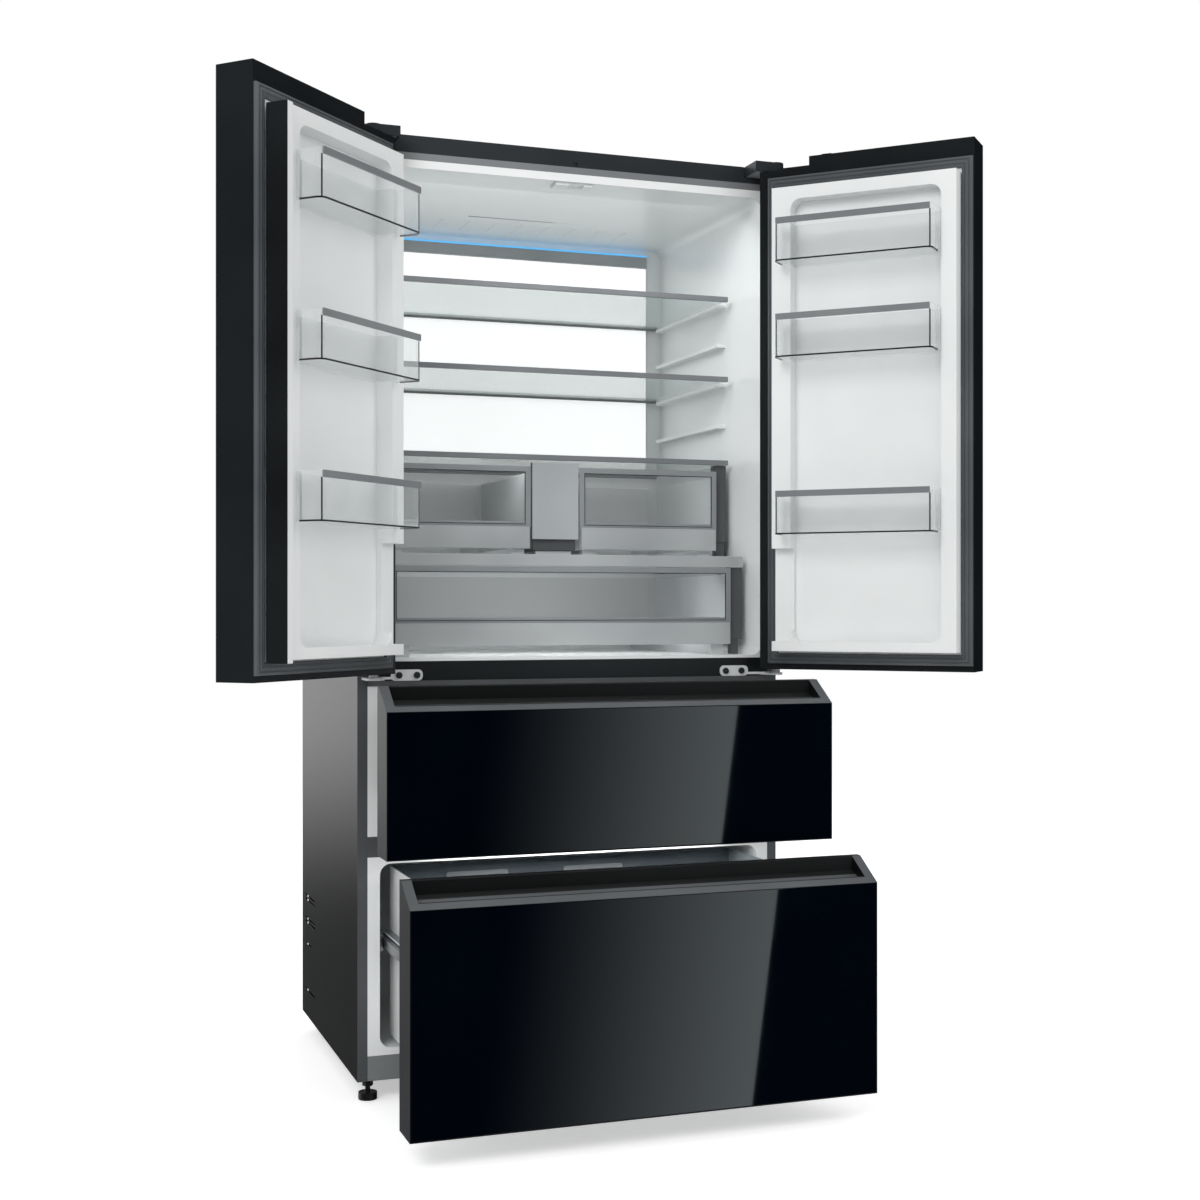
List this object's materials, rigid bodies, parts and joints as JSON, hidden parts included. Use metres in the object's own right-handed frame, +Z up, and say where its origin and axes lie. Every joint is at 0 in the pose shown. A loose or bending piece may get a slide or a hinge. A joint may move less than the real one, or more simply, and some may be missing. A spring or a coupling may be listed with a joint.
{
  "type": "french door refrigerator",
  "caption": "French door refrigerator with black glass fronts, two open upper doors with clear bins, and pull-out freezer drawers with slanted grips.",
  "frame": {"origin": "on the floor, below the middle of the refrigerator as it stands with its doors and drawers open", "axes": "+Z up, +Y from the doors towards the back, +X to the right as one faces it"},
  "size_m": [1.5174, 1.075, 1.901],
  "materials": {
    "shell_steel": "satin",
    "foam": "matte",
    "white_liner": "satin",
    "black_trim": "satin",
    "bright_steel": "satin",
    "front_steel": "satin",
    "kick_grey": "satin",
    "panel_white": "satin",
    "brushed_panel": "satin",
    "light_lens": "satin",
    "clear_glass": "gloss",
    "grey_trim": "satin",
    "frame_grey": "satin",
    "rail_steel": "satin",
    "compressor_black": "satin",
    "fin_aluminium": "satin",
    "cover_grey": "satin",
    "board_green": "satin",
    "fan_grey": "matte",
    "roller_grey": "matte",
    "black_glass": "gloss",
    "door_shell": "satin",
    "gasket_rubber": "matte",
    "drawer_shell": "satin",
    "smoked_plastic": "gloss",
    "clear_plastic": "gloss",
    "tank_grey": "satin"
  },
  "bodies": {
    "cabinet": {"cabinet_shell": "shell_steel", "cabinet_foam": "foam", "fridge_liner": "white_liner", "freezer_liner": "white_liner", "top_panel": "black_trim", "hinge_covers": "black_trim", "upper_hinges": "bright_steel", "lower_hinges": "bright_steel", "hinge_screws": "bright_steel", "front_rails": "front_steel", "kick_panel": "kick_grey", "front_feet": "black_trim", "duct_panel": "panel_white", "duct_header": "brushed_panel", "light_strip": "light_lens", "mullion_guide": "white_liner", "shelf_glasses": "clear_glass", "shelf_trims": "grey_trim", "crisper_frame": "frame_grey", "drawer_channels": "rail_steel", "compressor": "compressor_black", "condenser": "compressor_black", "evaporator": "fin_aluminium", "drain_pan": "black_trim", "machine_cover": "cover_grey", "control_board": "board_green", "power_inlet": "black_trim"},
    "left_door": {"left_door_glass": "black_glass", "left_door_frame": "door_shell", "left_door_foam": "foam", "left_door_liner": "white_liner", "left_door_gasket": "gasket_rubber", "left_door_bins": "clear_plastic"},
    "right_door": {"right_door_glass": "black_glass", "right_door_frame": "door_shell", "right_door_foam": "foam", "right_door_liner": "white_liner", "right_door_gasket": "gasket_rubber", "right_door_bins": "clear_plastic"},
    "mullion_flap": {"flap_body": "white_liner", "flap_face": "front_steel"},
    "upper_drawer": {"upper_drawer_glass": "black_glass", "upper_drawer_front": "drawer_shell", "upper_drawer_gasket": "gasket_rubber", "upper_drawer_basket": "smoked_plastic", "upper_drawer_slides": "rail_steel"},
    "lower_drawer": {"lower_drawer_glass": "black_glass", "lower_drawer_front": "drawer_shell", "lower_drawer_gasket": "gasket_rubber", "lower_drawer_basket": "smoked_plastic", "lower_drawer_slides": "rail_steel"},
    "upper_rails": {"upper_middle_rails": "rail_steel"},
    "lower_rails": {"lower_middle_rails": "rail_steel"},
    "left_crisper": {"left_crisper": "clear_plastic"},
    "right_crisper": {"right_crisper": "clear_plastic"},
    "bottom_crisper": {"bottom_crisper": "clear_plastic"},
    "water_tank": {"water_tank": "tank_grey"},
    "condenser_fan": {"condenser_fan": "fan_grey"},
    "evaporator_fan": {"evaporator_fan": "panel_white"},
    "rear_rollers": {"rear_rollers": "roller_grey"}
  },
  "joints": [
    {"name": "left_door_hinge", "type": "hinge", "parent": "cabinet", "child": "left_door", "pos_m": [-0.428, -0.1405, 1.367], "axis": [0, 0, 1], "range_deg": [0, 135]},
    {"name": "right_door_hinge", "type": "hinge", "parent": "cabinet", "child": "right_door", "pos_m": [0.428, -0.1405, 1.367], "axis": [0, 0, -1], "range_deg": [0, 135]},
    {"name": "mullion_flap_hinge", "type": "hinge", "parent": "left_door", "child": "mullion_flap", "pos_m": [-0.68044, -0.45799, 1.35], "axis": [0, 0, -1], "range_deg": [0, 90]},
    {"name": "upper_drawer_slide", "type": "slide", "parent": "cabinet", "child": "upper_drawer", "axis": [0, 1, 0], "range_m": [-0.24, 0.17]},
    {"name": "lower_drawer_slide", "type": "slide", "parent": "cabinet", "child": "lower_drawer", "axis": [0, 1, 0], "range_m": [-0.04, 0.353]},
    {"name": "upper_rails_slide", "type": "slide", "parent": "cabinet", "child": "upper_rails", "axis": [0, 1, 0], "range_m": [-0.12, 0.085]},
    {"name": "lower_rails_slide", "type": "slide", "parent": "cabinet", "child": "lower_rails", "axis": [0, 1, 0], "range_m": [-0.02, 0.1765]},
    {"name": "left_crisper_slide", "type": "slide", "parent": "cabinet", "child": "left_crisper", "axis": [0, 1, 0], "range_m": [-0.2, 0]},
    {"name": "right_crisper_slide", "type": "slide", "parent": "cabinet", "child": "right_crisper", "axis": [0, 1, 0], "range_m": [-0.2, 0]},
    {"name": "bottom_crisper_slide", "type": "slide", "parent": "cabinet", "child": "bottom_crisper", "axis": [0, 1, 0], "range_m": [-0.2, 0]},
    {"name": "water_tank_slide", "type": "slide", "parent": "cabinet", "child": "water_tank", "axis": [0, 1, 0], "range_m": [-0.2, 0]},
    {"name": "condenser_fan_spin", "type": "hinge", "parent": "cabinet", "child": "condenser_fan", "pos_m": [-0.23, 0.4545, 0.129], "axis": [1, 0, 0], "continuous": true},
    {"name": "evaporator_fan_spin", "type": "hinge", "parent": "cabinet", "child": "evaporator_fan", "pos_m": [0, 0.4425, 0.742], "axis": [0, 1, 0], "continuous": true},
    {"name": "rear_rollers_roll", "type": "hinge", "parent": "cabinet", "child": "rear_rollers", "pos_m": [0, 0.4655, 0.018], "axis": [1, 0, 0], "continuous": true}
  ],
  "couplings": [
    {"joint": "upper_rails_slide", "follows": "upper_drawer_slide", "ratio": 0.5},
    {"joint": "lower_rails_slide", "follows": "lower_drawer_slide", "ratio": 0.5}
  ]
}
